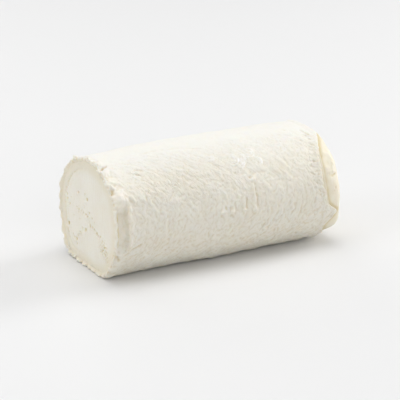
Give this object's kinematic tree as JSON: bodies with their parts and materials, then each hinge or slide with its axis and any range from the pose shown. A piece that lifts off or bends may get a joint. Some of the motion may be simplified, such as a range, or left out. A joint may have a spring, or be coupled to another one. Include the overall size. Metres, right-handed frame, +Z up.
{
  "type": "goat cheese log",
  "caption": "Small log of soft goat cheese with a thin white rind, lying on its side: ragged open end with a disc of paste, folded end rounded over.",
  "frame": {"origin": "on the surface the log lies on, below the middle of its bounding box", "axes": "+X along the log towards its folded end, -Y the near side seen in the picture, +Z up"},
  "size_m": [0.1034, 0.0528, 0.0463],
  "materials": {
    "rind": "soft white mould rind over pale cream paste, matt to faintly moist, slightly translucent"
  },
  "bodies": {
    "root": {"cheese_log": "rind"}
  },
  "joints": []
}
